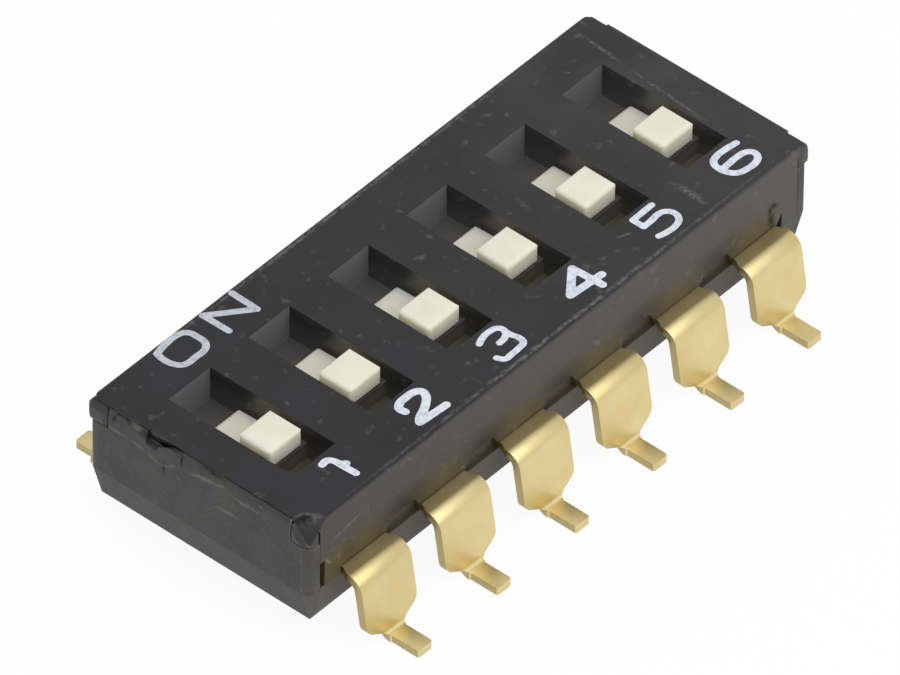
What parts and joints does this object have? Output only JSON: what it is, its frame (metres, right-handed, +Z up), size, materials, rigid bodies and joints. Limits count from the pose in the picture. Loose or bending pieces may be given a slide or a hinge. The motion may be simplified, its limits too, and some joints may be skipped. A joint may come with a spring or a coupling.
{
  "type": "slide dip switch",
  "caption": "Slide-type dual in-line switch for surface mounting: a low housing with a row of recessed sliders and flat gull-wing terminals along both long sides.",
  "frame": {"origin": "on the board, under the middle of the housing", "axes": "+X along the row from the first switch to the last, +Y to the ON side, +Z up from the board"},
  "size_m": [0.0162, 0.0098, 0.0037],
  "materials": {
    "base_plastic": "moulded, dull",
    "cover_plastic": "moulded, fine satin",
    "slider_plastic": "moulded, smooth",
    "spring_strip": "gold-plated, bright",
    "terminal_strip": "gold-plated, satin"
  },
  "bodies": {
    "housing": {"base": "base_plastic", "cover": "cover_plastic", "number_side_terminal_1": "terminal_strip", "number_side_terminal_2": "terminal_strip", "number_side_terminal_3": "terminal_strip", "number_side_terminal_4": "terminal_strip", "number_side_terminal_5": "terminal_strip", "number_side_terminal_6": "terminal_strip", "on_side_terminal_1": "terminal_strip", "on_side_terminal_2": "terminal_strip", "on_side_terminal_3": "terminal_strip", "on_side_terminal_4": "terminal_strip", "on_side_terminal_5": "terminal_strip", "on_side_terminal_6": "terminal_strip"},
    "switch_1": {"slider_1": "slider_plastic", "contact_spring_1": "spring_strip"},
    "switch_2": {"slider_2": "slider_plastic", "contact_spring_2": "spring_strip"},
    "switch_3": {"slider_3": "slider_plastic", "contact_spring_3": "spring_strip"},
    "switch_4": {"slider_4": "slider_plastic", "contact_spring_4": "spring_strip"},
    "switch_5": {"slider_5": "slider_plastic", "contact_spring_5": "spring_strip"},
    "switch_6": {"slider_6": "slider_plastic", "contact_spring_6": "spring_strip"}
  },
  "joints": [
    {"name": "slide_1", "type": "slide", "parent": "housing", "child": "switch_1", "axis": [0, 1, 0], "range_m": [0, 0.00082]},
    {"name": "slide_2", "type": "slide", "parent": "housing", "child": "switch_2", "axis": [0, 1, 0], "range_m": [0, 0.00082]},
    {"name": "slide_3", "type": "slide", "parent": "housing", "child": "switch_3", "axis": [0, 1, 0], "range_m": [0, 0.00082]},
    {"name": "slide_4", "type": "slide", "parent": "housing", "child": "switch_4", "axis": [0, 1, 0], "range_m": [0, 0.00082]},
    {"name": "slide_5", "type": "slide", "parent": "housing", "child": "switch_5", "axis": [0, 1, 0], "range_m": [0, 0.00082]},
    {"name": "slide_6", "type": "slide", "parent": "housing", "child": "switch_6", "axis": [0, 1, 0], "range_m": [0, 0.00082]}
  ]
}
